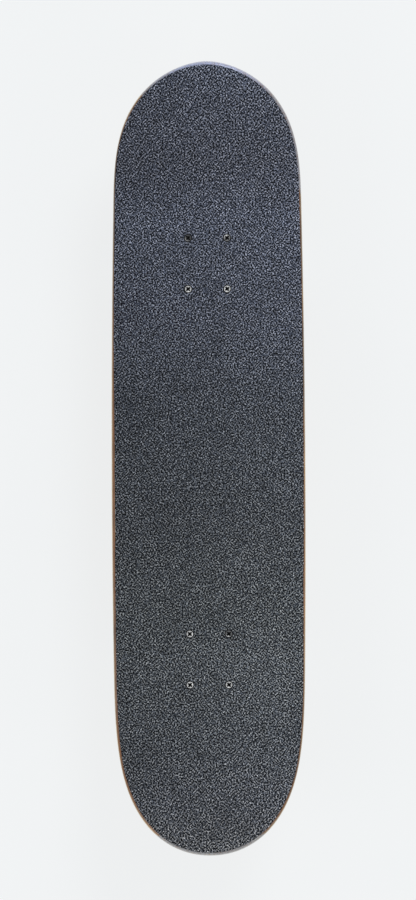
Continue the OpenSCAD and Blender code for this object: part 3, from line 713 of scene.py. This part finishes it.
def skin_mesh(rows, cols, profile, trim=None):
    """A sheet of the board between the profile's first and last layer, as verts, faces and depths.

    profile is [(inset, depth), ...] round the edge, from the upper sheet to the lower one.
    trim gives how much further in the edge lies at each border point.
    """
    x, y = plan_grid(rows, cols)
    border = (
        [(i, cols) for i in range(rows + 1)]
        + [(rows, j) for j in range(cols - 1, 0, -1)]
        + [(i, 0) for i in range(rows, -1, -1)]
        + [(0, j) for j in range(1, cols)]
    )
    bi = np.array(border)
    bp = np.stack([x[bi[:, 0], bi[:, 1]], y[bi[:, 0], bi[:, 1]]], -1)
    t = np.roll(bp, -1, 0) - np.roll(bp, 1, 0)
    normal = np.stack([t[:, 1], -t[:, 0]], -1) / np.linalg.norm(t, axis=1, keepdims=True)
    verts, depths, index = [], [], []
    extra = trim(bp[:, 0], bp[:, 1]) if trim else np.zeros(len(bp))
    for layer in (profile[0], profile[-1]):
        gx, gy = drawn_in(x, y, bi, -normal * (layer[0] + extra)[:, None])
        index.append(len(verts) + np.arange(gx.size).reshape(gx.shape))
        verts += list(skin_points(gx, gy, layer[1]).reshape(-1, 3))
        depths += [layer[1]] * gx.size
    rings = [index[0][bi[:, 0], bi[:, 1]]]
    for inset, depth in profile[1:-1]:
        ins = bp - normal * (inset + extra)[:, None]
        rings.append(len(verts) + np.arange(len(border)))
        verts += list(skin_points(ins[:, 0], ins[:, 1], depth))
        depths += [depth] * len(border)
    rings.append(index[1][bi[:, 0], bi[:, 1]])
    faces = []
    for k, sheet in enumerate(index):
        for i in range(rows):
            for j in range(cols):
                quad = (sheet[i, j], sheet[i, j + 1], sheet[i + 1, j + 1], sheet[i + 1, j])
                faces.append(tuple(int(q) for q in (quad if k == 0 else quad[::-1])))
    for a, b in zip(rings, rings[1:]):
        for k in range(len(border)):
            n = (k + 1) % len(border)
            faces.append((int(a[k]), int(b[k]), int(b[n]), int(a[n])))
    return verts, faces, depths


def quarter(r, steps, lower):
    """(inset, depth) points of a rounded edge: the top edge runs down and out, the lower one down and in."""
    out = []
    for i in range(steps + 1):
        a = math.pi / 2 * i / steps
        if lower:
            out.append((r * (1 - math.cos(a)), DECK_T - r * (1 - math.sin(a))))
        else:
            out.append((r * (1 - math.sin(a)), r * (1 - math.cos(a))))
    return out


def bolt_places(end, z=0):
    """The places of a truck's four bolts, z over the deck's underside."""
    return [truck_place(end) @ move(sx * BOLT_X, sy * BOLT_Y, z) for sx in (-1, 1) for sy in (-1, 1)]


def bolt_holes(radius, z_lo, z_hi, sink=None):
    """Cutters for the bolt holes, in the row frame. sink = (radius, z) of a countersink's mouth."""
    profile = [(0, z_lo), (radius, z_lo)]
    if sink:
        profile += [(radius, sink[1] - (sink[0] - radius)), (sink[0], sink[1]), (sink[0], z_hi)]
    else:
        profile += [(radius, z_hi)]
    profile.append((0, z_hi))
    cutter = solid_lathe(profile, 40)
    return joined([(*cutter, place) for end, _ in ENDS for place in bolt_places(end)])


def add_values(obj, name, values):
    """A value for each vertex, which the materials read by name."""
    a = obj.data.attributes.new(name, "FLOAT", "POINT")
    a.data.foreach_set("value", [float(value) for value in values])


# ---------------------------------------------------------------- deck and grip
ROWS, COLS = 200, 34
SHANK_HOLE_R, SINK_R, GRIP_HOLE_R = 2.6, 4.95, 4.5
CUT_PAST = 5
deck_profile = quarter(TOP_EDGE_R, 4, False) + quarter(LOW_EDGE_R, 6, True)
v, f, depths = skin_mesh(ROWS, COLS, deck_profile)
deck = add_piece("deck_plies", v, f, PLY, "board", ("deck",), sharp=50)
add_values(deck, "ply", [depth / DECK_T for depth in depths])
# The nose is worn further down its right side than its left, and the tail only at its tip; the nose's worn
# edge also gets a painted skylight reflection
NOSE_WORN_Y, NOSE_WORN_LEAN, NOSE_WORN_FADE = 332, 0.6, 16
TAIL_WORN_Y, TAIL_WORN_FADE = -386, 8
place_x, place_y = np.array(v)[:, 0], np.array(v)[:, 1]
nose_worn = np.clip((place_y + NOSE_WORN_LEAN * place_x - NOSE_WORN_Y) / NOSE_WORN_FADE, 0, 1)
tail_worn = np.clip((TAIL_WORN_Y - place_y) / TAIL_WORN_FADE, 0, 1)
add_values(deck, "worn", np.maximum(nose_worn, tail_worn))
# Tone of the edge, lower is darker, by the direction from the board's middle, 0 degrees to its right
EDGE_TONE_BY_DIRECTION = (
    (0, 1.2), (25, 0.8), (35, 0.6), (52, 0.5), (60, 0.85), (67, 0.5), (72, 0.9), (90, 1.0), (100, 1.0),
    (104, 0.8), (107, 0.5), (112, 0.45), (116, 0.7), (122, 0.8), (130, 1.0), (180, 1.05), (215, 1.05),
    (238, 1.0), (241, 0.6), (245, 0.9), (260, 1.15), (280, 0.9), (287, 0.8), (292, 0.85), (297, 1.25),
    (308, 1.4), (316, 1.1), (327, 1.0), (345, 1.25),
)
# How much further in the knife ran along the grip's edge, in mm, by the same direction
KNIFE = (
    (0, 0.2), (60, 0.1), (70, 0.6), (78, 0.85), (83.5, 0.75), (90, 0.85), (93.5, 0.35), (96, 0.0),
    (110, 0.0), (130, 0.3), (142, 0.9), (155, 1.1), (180, 1.6), (212, 1.6), (235, 1.3), (250, 1.1),
    (256, 1.1), (262, 0.45), (267, 0.6), (274, 0.6), (279, 0.6), (283, 0.8), (290, 0.3), (300, 0.25),
    (308, 0.9), (316, 0.3), (340, 0.35),
)


def by_direction(table, x, y):
    """A table's value in the direction of each place from the board's middle."""
    turn = np.degrees(np.arctan2(y, x)) % 360
    return np.interp(turn, [degrees for degrees, _ in table], [value for _, value in table], period=360)


def knife_trim(x, y):
    """How much further in the grip was cut at each border point, with the knife's small wobble."""
    along = np.concatenate([[0], np.cumsum(np.hypot(np.diff(x), np.diff(y)))])
    wobble = 0.10 * np.sin(along / 17) + 0.07 * np.sin(along / 7.3 + 1)
    return np.maximum(0, by_direction(KNIFE, x, y) + wobble)


add_values(deck, "shade", by_direction(EDGE_TONE_BY_DIRECTION, place_x, place_y))
cut_with(deck, *bolt_holes(SHANK_HOLE_R, -CUT_PAST, DECK_T + CUT_PAST, (SINK_R, DECK_T - 0.05)))
smooth(deck.data, 50)

cut_edge = [
    (TOP_EDGE_R + 0.3, -GRIP_T),
    (1.35, -GRIP_T + 0.12),
    (0.85, -0.42),
    (0.85, 0.0),
    (1.05, 0.50),
    (TOP_EDGE_R, 0.0),
]
v, f, _ = skin_mesh(ROWS, COLS, cut_edge, knife_trim)
grip = add_piece("grip_sheet", v, f, GRIP, "board", ("griptape",), sharp=60)
cut_with(grip, *bolt_holes(GRIP_HOLE_R, DECK_T - 3, DECK_T + CUT_PAST))
smooth(grip.data, 60)

# The grip's edge, pressed down into each countersink round the bolt's head: (radius, height over the deck)
skirt = [
    (4.50, GRIP_T), (4.34, 0.86), (4.02, 0.30), (3.84, -0.10), (3.76, -0.34), (3.88, -0.40),
    (4.12, -0.20), (4.45, 0.02), (4.62, 0.30), (4.62, 0.96),
]
for end, _ in ENDS:
    section = lathe(skirt, 56)
    v, f = joined([(*section, place) for place in bolt_places(end, DECK_T)])
    # Coloured near-black as painted shade round each head.
    add_piece(end + "_grip_skirts", v, f, GRIP_EDGE_SHADE, "board", (), sharp=50)


# ---------------------------------------------------------------- screws, nuts, kingpins
SCREW_SEGMENTS = 40


def circle(r, z):
    """One ring of vertices."""
    angles = [2 * math.pi * s / SCREW_SEGMENTS for s in range(SCREW_SEGMENTS)]
    return [(r * math.cos(a), r * math.sin(a), z) for a in angles]


def band(low, high):
    """Faces between two rings of vertices, given by their first ones."""
    faces = []
    for s in range(SCREW_SEGMENTS):
        t = (s + 1) % SCREW_SEGMENTS
        faces.append((low + s, high + s, high + t, low + t))
    return faces


def thread_rod(thread, z_lo, z_hi):
    """The rings of an open tube with a helical thread that fades out at both ends."""
    radius, pitch, depth = thread
    per_turn = 7
    rings = max(2, int((z_hi - z_lo) / pitch * per_turn))
    verts = []
    for i in range(rings + 1):
        z = z_lo + (z_hi - z_lo) * i / rings
        fade = min(1.0, 1.2 * min(z - z_lo, z_hi - z) / pitch)
        for s in range(SCREW_SEGMENTS):
            phase = (z / pitch - s / SCREW_SEGMENTS) % 1.0
            r = radius - depth * fade * abs(2 * phase - 1)
            a = 2 * math.pi * s / SCREW_SEGMENTS
            verts.append((r * math.cos(a), r * math.sin(a), z))
    return verts, rings


def screw(thread, z_tip, z_thread, head):
    """A screw along Z: chamfered tip at z_tip, thread up to z_thread, then the head's profile to the axis."""
    radius, _, depth = thread
    seg = SCREW_SEGMENTS
    verts, rings = thread_rod(thread, z_tip + 0.5, z_thread)
    faces = []
    for i in range(rings):
        faces += band(i * seg, (i + 1) * seg)
    low = len(verts)
    verts += circle(radius - depth * 1.25, z_tip)
    verts.append((0, 0, z_tip))
    for s in range(seg):
        t = (s + 1) % seg
        faces.append((s, t, low + t, low + s))
        faces.append((low + s, low + t, low + seg))
    ring = rings * seg
    for r, z in head[:-1]:
        new = len(verts)
        verts += circle(r, z)
        faces += band(ring, new)
        ring = new
    verts.append((0, 0, head[-1][1]))
    top = len(verts) - 1
    for s in range(seg):
        faces.append((top, ring + (s + 1) % seg, ring + s))
    return verts, faces


def cross_bar(z_top, turn):
    """One bar of a Phillips recess: long and upright at the top, short and narrow at the bottom."""
    levels = (
        (z_top + 0.6, CROSS_SPAN, CROSS_W),
        (z_top - 0.5, CROSS_SPAN * 0.96, CROSS_W * 0.97),
        (z_top - CROSS_DEPTH, CROSS_SPAN * 0.42, CROSS_W * 0.7),
    )
    c, s = math.cos(turn), math.sin(turn)
    verts = []
    for z, l, w in levels:
        for px, py in ((-l / 2, -w / 2), (l / 2, -w / 2), (l / 2, w / 2), (-l / 2, w / 2)):
            verts.append((px * c - py * s, px * s + py * c, z))
    faces = [(0, 1, 2, 3), (11, 10, 9, 8)]
    for k in (0, 4):
        for i in range(4):
            j = (i + 1) % 4
            faces.append((k + j, k + i, k + 4 + i, k + 4 + j))
    return verts, faces


BOLT_TOP = DECK_T + GRIP_T - BOLT_SINK
BOLT_TIP = BOLT_TOP - BOLT_L
BOLT_THREAD_END = 2.0
HEAD_FACE_R = 3.44
CROSS_SPAN, CROSS_W, CROSS_DEPTH = 5.5, 2.1, 2.3
bolt_head = [
    (2.415, 9.0),
    (2.42, BOLT_TOP - 2.0),
    (3.50, BOLT_TOP - 0.95),
    (3.62, BOLT_TOP - 0.75),
    (3.64, BOLT_TOP - 0.30),
    (3.60, BOLT_TOP - 0.16),
    (3.48, BOLT_TOP - 0.06),
    (3.28, BOLT_TOP - 0.01),
    (2.90, BOLT_TOP),
    (0, BOLT_TOP),
]
# Turn of each cross, how dull its head has worn, the side with a painted highlight and that highlight's
# strength,
# by (end, x side, y side)
BOLT_WEAR_AND_HIGHLIGHT = {
    ("front", -1, 1): (44, 0.97, 225, 0.3), ("front", 1, 1): (50, 0.85, 125, 0.75),
    ("front", -1, -1): (43, 0.45, 290, 1.0), ("front", 1, -1): (37, 0.4, 235, 1.0),
    ("rear", 1, -1): (46, 0.4, 330, 1.0), ("rear", -1, -1): (40, 0.9, 250, 0.55),
    ("rear", 1, 1): (52, 0.35, 20, 1.0), ("rear", -1, 1): (38, 0.4, 250, 1.0),
}


def head_dullness_and_painted_light(heads, point):
    """How dull a bolt's surface is at a point in mm, from the nearest head, less on one side where a
    highlight is painted. Past the head's face, bevel and shank get the dark colour in full as painted shade.
    """
    centre, dullness, painted_highlight_side, clean = min(heads, key=lambda head: (point - head[0]).xy.length)
    out = point - centre
    if out.xy.length > HEAD_FACE_R:
        return 1.0
    # Painted highlight on one side of the head, its strength given per head.
    bright_and_painted_highlight = clean * max(0.0, math.cos(math.atan2(out.y, out.x) - painted_highlight_side)) ** 3
    return dullness * (1 - bright_and_painted_highlight)


for end, _ in ENDS:
    parts, heads = [], []
    bars = ([], [])
    for sx in (-1, 1):
        for sy in (-1, 1):
            degrees, dullness, painted_highlight_side, clean = BOLT_WEAR_AND_HIGHLIGHT[end, sx, sy]
            place = truck_place(end) @ move(sx * BOLT_X, sy * BOLT_Y, 0)
            parts.append((*screw(BOLT_THREAD, BOLT_TIP, BOLT_THREAD_END, bolt_head), place))
            heads.append((place.to_translation(), dullness, math.radians(painted_highlight_side), clean))
            for bar, turn in zip(bars, (degrees, degrees + 90)):
                bar.append((*cross_bar(BOLT_TOP, math.radians(turn)), place))
    v, f = joined(parts)
    bolts = add_piece(end + "_screws", v, f, SCREW, "board", (end + "_deck_bolts",), sharp=32)
    for bar in bars:
        # The recesses are lined with painted shade.
        cut_with(bolts, *joined(bar), RECESS_SHADE)
    # Per vertex: worn dullness, a painted highlight on one side and painted shade past each head's face.
    add_values(bolts, "wear_and_painted_light", [head_dullness_and_painted_light(heads, vertex.co / MM) for vertex in bolts.data.vertices])
    smooth(bolts.data, 32)

KINGPIN_FOOT = SEAT_DEPTH - RING_T / 2 - ROAD_BUSHING_H - WASHER_T - KINGPIN_NUT_H - KINGPIN_PAST_NUT
KINGPIN_THREAD_L = 15
HEX_LOW = RING_T / 2 + BOARD_BUSHING_H - SEAT_DEPTH + WASHER_T + KINGPIN_HEAD_SEAT
HEX_H, HEX_CORNER_R, HEX_EDGE = 5.6, 8.1, 0.6
for end, _ in ENDS:
    radius = KINGPIN_THREAD[0]
    thread_top = KINGPIN_FOOT + KINGPIN_THREAD_L
    shank = [(radius, thread_top + 0.2), (radius, HEX_LOW), (0, HEX_LOW)]
    hexagon = [
        (0, HEX_LOW),
        (7.0, HEX_LOW),
        (HEX_CORNER_R, HEX_LOW + HEX_EDGE),
        (HEX_CORNER_R, HEX_LOW + HEX_H - HEX_EDGE),
        (7.2, HEX_LOW + HEX_H),
        (0, HEX_LOW + HEX_H),
    ]
    place = kingpin_place(end)
    rod = screw(KINGPIN_THREAD, KINGPIN_FOOT, thread_top, shank)
    v, f = joined([(*rod, place), (*solid_lathe(hexagon, 6), place)])
    add_piece(end + "_kingpin_screw", v, f, DULL, "board", (end + "_kingpin",), sharp=30)

AXLE_THREAD_L = 7.5
for end, _ in ENDS:
    radius = AXLE_THREAD[0]
    thread_top = -AXLE_L / 2 + AXLE_THREAD_L
    shank = [(radius, thread_top + 0.5), (radius, 0.0), (0, 0.0)]
    half_axle = screw(AXLE_THREAD, -AXLE_L / 2, thread_top, shank)
    halves = []
    for side in (-1, 1):
        flip = Matrix.Rotation(0 if side > 0 else math.pi, 4, "X")
        halves.append((*half_axle, axle_place(end, 1) @ flip))
    v, f = joined(halves)
    add_piece(end + "_axle_rod", v, f, GROUND, end + "_truck", (end + "_axle",), sharp=30)


def insert_ring(r_in, r_out, h):
    """The plastic ring in a lock nut's mouth."""
    e = 0.18
    section = [(r_in + e, 0), (r_in, e), (r_in, h), (r_out, h), (r_out, e), (r_out - e, 0)]
    return lathe(section[::-1], 48)


# Inner radius, outer radius and height of each lock nut's insert
AXLE_INSERT = (3.72, 5.1, 1.4)
BOLT_INSERT = (2.15, 3.6, 1.4)
KINGPIN_INSERT = (4.4, 6.0, 1.6)
# How far each one stands out of its nut
AXLE_INSERT_OUT, BOLT_INSERT_OUT, KINGPIN_INSERT_OUT = 0.08, 0.04, 0.05
AXLE_INSERT_Z = WHEEL_X + BEARING_OUT + SPEED_RING_T + NUT_H + AXLE_INSERT_OUT - AXLE_INSERT[2]
BOLT_INSERT_Z = -BASEPLATE_T - NUT_H - BOLT_INSERT_OUT
KINGPIN_INSERT_Z = KINGPIN_FOOT + KINGPIN_PAST_NUT - KINGPIN_INSERT_OUT
for end, _ in ENDS:
    ring = insert_ring(*AXLE_INSERT)
    v, f = joined([(*ring, axle_place(end, side) @ move(0, 0, AXLE_INSERT_Z)) for side in (-1, 1)])
    add_piece(end + "_axle_nut_inserts", v, f, INSERT, end + "_truck")
    ring = insert_ring(*BOLT_INSERT)
    v, f = joined([(*ring, place) for place in bolt_places(end, BOLT_INSERT_Z)])
    add_piece(end + "_bolt_nut_inserts", v, f, INSERT, "board")
    ring = insert_ring(*KINGPIN_INSERT)
    v, f = joined([(*ring, kingpin_place(end) @ move(0, 0, KINGPIN_INSERT_Z))])
    add_piece(end + "_kingpin_nut_insert", v, f, INSERT, "board")


# ---------------------------------------------------------------- bushings
BUSHING_BORE, BUSHING_LIP, BUSHING_SEAT_H = 10.1, 0.9, 4.0


def bushing_profile(d_wide, d_tip, h):
    """Closed section of a barrel or cone bushing, wide end at z = 0, with rounded rims."""
    r0, r1, lip, seat = d_wide / 2, d_tip / 2, BUSHING_LIP, BUSHING_SEAT_H
    wall = arc(r0 - lip, lip, lip, -90, 0, 4)
    wall += [(r0, seat - 1), (r0 - 0.15, seat)]
    steps = 8
    for i in range(1, steps + 1):
        t = i / (steps + 1)
        wall.append((r0 + (r1 - r0) * t - 0.25 * math.sin(math.pi * t), seat + (h - seat - lip) * t))
    wall += arc(r1 - lip, h - lip, lip, 0, 90, 4)
    bore_wall = [(BUSHING_BORE / 2, h * (1 - i / steps)) for i in range(steps + 1)]
    return wall + bore_wall


def add_bushing(end, kind, d_wide, d_tip, h, base):
    """A bushing turned from its section, its wide end at base, in place of the CAD's bushing."""
    name = f"{end}_{kind}_bushing"
    v, f = lathe(bushing_profile(d_wide, d_tip, h), 72)
    mesh = bpy.data.meshes.new(name + "_urethane")
    mesh.from_pydata([(base @ Vector(p)) * MM for p in v], [], f)
    obj = bpy.data.objects.new(name + "_urethane", mesh)
    bpy.context.scene.collection.objects.link(obj)
    mesh.materials.append(BUSHING)
    smooth(mesh, 50)
    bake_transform(obj)
    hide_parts(name)


for end, _ in ENDS:
    upper = kingpin_place(end) @ move(0, 0, RING_T / 2 - SEAT_DEPTH)
    lower = kingpin_place(end) @ move(0, 0, SEAT_DEPTH - RING_T / 2) @ Matrix.Rotation(math.pi, 4, "X")
    add_bushing(end, "boardside", BOARD_BUSHING_D, BOARD_BUSHING_D - 2.4, BOARD_BUSHING_H, upper)
    add_bushing(end, "roadside", ROAD_BUSHING_D, ROAD_BUSHING_TIP_D, ROAD_BUSHING_H, lower)


# ---------------------------------------------------------------- wheels and bearings
WHEEL_LIP = 9.0
TREAD_R, TREAD_FADE = 22.5, 3.0
SHIELD_IN = 0.8
# Half of the wheel's section: core, bearing seat, dished side, rounded lip, tread
half_wheel = [(8.75, 0.0), (8.75, 4.9), (8.9, 5.0), (11.01, 5.0), (11.01, 11.85), (11.15, 12.0), (11.5, 12.0)]
half_wheel += [(11.9, 12.08), (12.4, 12.45), (15.3, 15.2), (15.75, 15.6), (16.2, 15.88), (16.7, 16.0)]
half_wheel += arc(WHEEL_R - WHEEL_LIP, WHEEL_HALF_W - WHEEL_LIP, WHEEL_LIP, 90, 0, 18)
half_wheel += [(WHEEL_R, 5.0), (WHEEL_R, 2.5)]
wheel_profile = half_wheel + [(WHEEL_R, 0.0)] + [(r, -z) for r, z in reversed(half_wheel[1:])]
# A bearing shield pressed from sheet, with a raised rib at each rim
shield_profile = [
    (6.4, 0.10), (6.4, 0.34), (6.62, 0.44), (6.95, 0.44), (7.2, 0.26), (8.8, 0.26),
    (9.05, 0.44), (9.5, 0.44), (9.72, 0.34), (10.0, 0.34), (10.0, 0.0), (6.5, 0.0),
]
for end, _ in ENDS:
    for side_name, side in SIDES:
        stem = f"{end}_{side_name}"
        body = stem + "_wheel_set"
        place = axle_place(end, side) @ move(0, 0, WHEEL_X)
        v, f = lathe(wheel_profile[::-1], 128)
        tyre = add_piece(
            stem + "_wheel_urethane", v, f, WHEEL, body, (stem + "_wheel",),
            sharp=40, place=place,
        )
        add_values(tyre, "tread", [np.clip((math.hypot(x, y) - TREAD_R) / TREAD_FADE, 0, 1) for x, y, _ in v])
        shields = []
        for face in (-1, 1):
            flip = Matrix.Rotation(0 if face > 0 else math.pi, 4, "X")
            seat = place @ flip @ move(0, 0, BEARING_OUT - SHIELD_IN)
            shields.append((*lathe(shield_profile[::-1], 72), seat))
        v, f = joined(shields)
        add_piece(stem + "_shield_plates", v, f, TURNED, body, (stem + "_shields",), sharp=30)


# ---------------------------------------------------------------- CAD nodes that stay
LOOK = {
    "baseplate": CAST, "hanger": CAST, "pivot_cup": CUP, "kingpin_nut": BRIGHT, "axle_nuts": BRIGHT,
    "deck_bolt_nuts": BRIGHT, "speed_rings": TURNED, "boardside_washer": BRIGHT, "roadside_washer": BRIGHT,
    "outer_rings": POLISHED, "inner_rings": POLISHED, "balls": POLISHED, "cages": NYLON, "spacer": TURNED,
}
# Width of the bevel in mm
BEVEL = {
    "kingpin_nut": 0.25, "axle_nuts": 0.22, "deck_bolt_nuts": 0.18, "speed_rings": 0.12,
    "boardside_washer": 0.3, "roadside_washer": 0.3, "outer_rings": 0.2, "inner_rings": 0.15,
    "pivot_cup": 0.3, "spacer": 0.15,
}
# Castings get soft edges from a fine remesh, with this voxel in mm
VOXEL = {"baseplate": 0.7, "hanger": 0.8}
for name, obj in nodes.items():
    if obj.hide_render:
        continue
    kind = next(k for k in sorted(LOOK, key=len, reverse=True) if name.endswith(k))
    obj.data.materials.clear()
    obj.data.materials.append(LOOK[kind])
    weld = obj.modifiers.new("weld", "WELD")
    weld.merge_threshold = 2e-6
    if kind in VOXEL:
        rounder = obj.modifiers.new("round", "REMESH")
        rounder.mode = "VOXEL"
        rounder.voxel_size = VOXEL[kind] * MM
        rounder.use_smooth_shade = True
        soft = obj.modifiers.new("soft", "SMOOTH")
        soft.factor = 0.5
        soft.iterations = 5
        continue
    smooth(obj.data, 30)
    if kind in BEVEL:
        bevel = obj.modifiers.new("bevel", "BEVEL")
        bevel.width = BEVEL[kind] * MM
        bevel.segments = 2
        bevel.limit_method = "ANGLE"
        bevel.angle_limit = math.radians(40)
        bevel.use_clamp_overlap = True


# ---------------------------------------------------------------- studio
bpy.ops.mesh.primitive_plane_add(size=80, location=(0, 0, 0))
floor = bpy.context.object
floor.name = "studio_floor"
floor.data.materials.append(FLOOR)


def area_light(name, place, aim, size, power, colour):
    data = bpy.data.lights.new(name, "AREA")
    data.shape = "DISK"
    data.size = size
    data.energy = power
    data.color = colour
    lamp = bpy.data.objects.new(name, data)
    lamp.location = place
    lamp.rotation_euler = (Vector(aim) - Vector(place)).to_track_quat("-Z", "Y").to_euler()
    bpy.context.scene.collection.objects.link(lamp)


area_light("window", (0.9, 1.9, 2.1), (0, 0.1, 0.1), 1.2, 34, (0.93, 0.97, 1.0))
area_light("fill", (-1.9, -1.1, 1.7), (0, -0.1, 0.1), 1.6, 18, (1.0, 0.985, 0.96))
area_light("rim", (1.9, -1.6, 1.3), (0, 0, 0.08), 1.2, 12, (1.0, 0.97, 0.93))

world = bpy.data.worlds.new("studio")
bpy.context.scene.world = world
world.use_nodes = True
lit = world.node_tree.nodes["Background"]
lit.inputs["Color"].default_value = (0.97, 0.985, 1.0, 1)
lit.inputs["Strength"].default_value = 0.55
# What is seen past the floor is as pale as the floor
seen = world.node_tree.nodes.new("ShaderNodeBackground")
seen.inputs["Color"].default_value = (0.812, 0.826, 0.834, 1)
pick = world.node_tree.nodes.new("ShaderNodeMixShader")
path = world.node_tree.nodes.new("ShaderNodeLightPath")
world.node_tree.links.new(path.outputs["Is Camera Ray"], pick.inputs[0])
world.node_tree.links.new(lit.outputs[0], pick.inputs[1])
world.node_tree.links.new(seen.outputs[0], pick.inputs[2])
world.node_tree.links.new(pick.outputs[0], world.node_tree.nodes["World Output"].inputs["Surface"])

# ---------------------------------------------------------------- camera, straight above as in the photo
bpy.context.scene.view_settings.view_transform = "Standard"
bpy.context.scene.view_settings.look = "None"

FRAME_H_MM = 952.4
CAMERA_H = 2.2
camera_data = bpy.data.cameras.new("camera")
camera_data.sensor_width = 36
camera_data.lens = 36 * (CAMERA_H / MM) / FRAME_H_MM
camera = bpy.data.objects.new("camera", camera_data)
camera.location = (-0.0005, 0.0091, CAMERA_H + (TOP_Z + GRIP_T) * MM)
camera.rotation_euler = (0, 0, math.radians(-0.27))
camera_data.clip_start, camera_data.clip_end = 0.05, 50
bpy.context.scene.collection.objects.link(camera)
bpy.context.scene.camera = camera
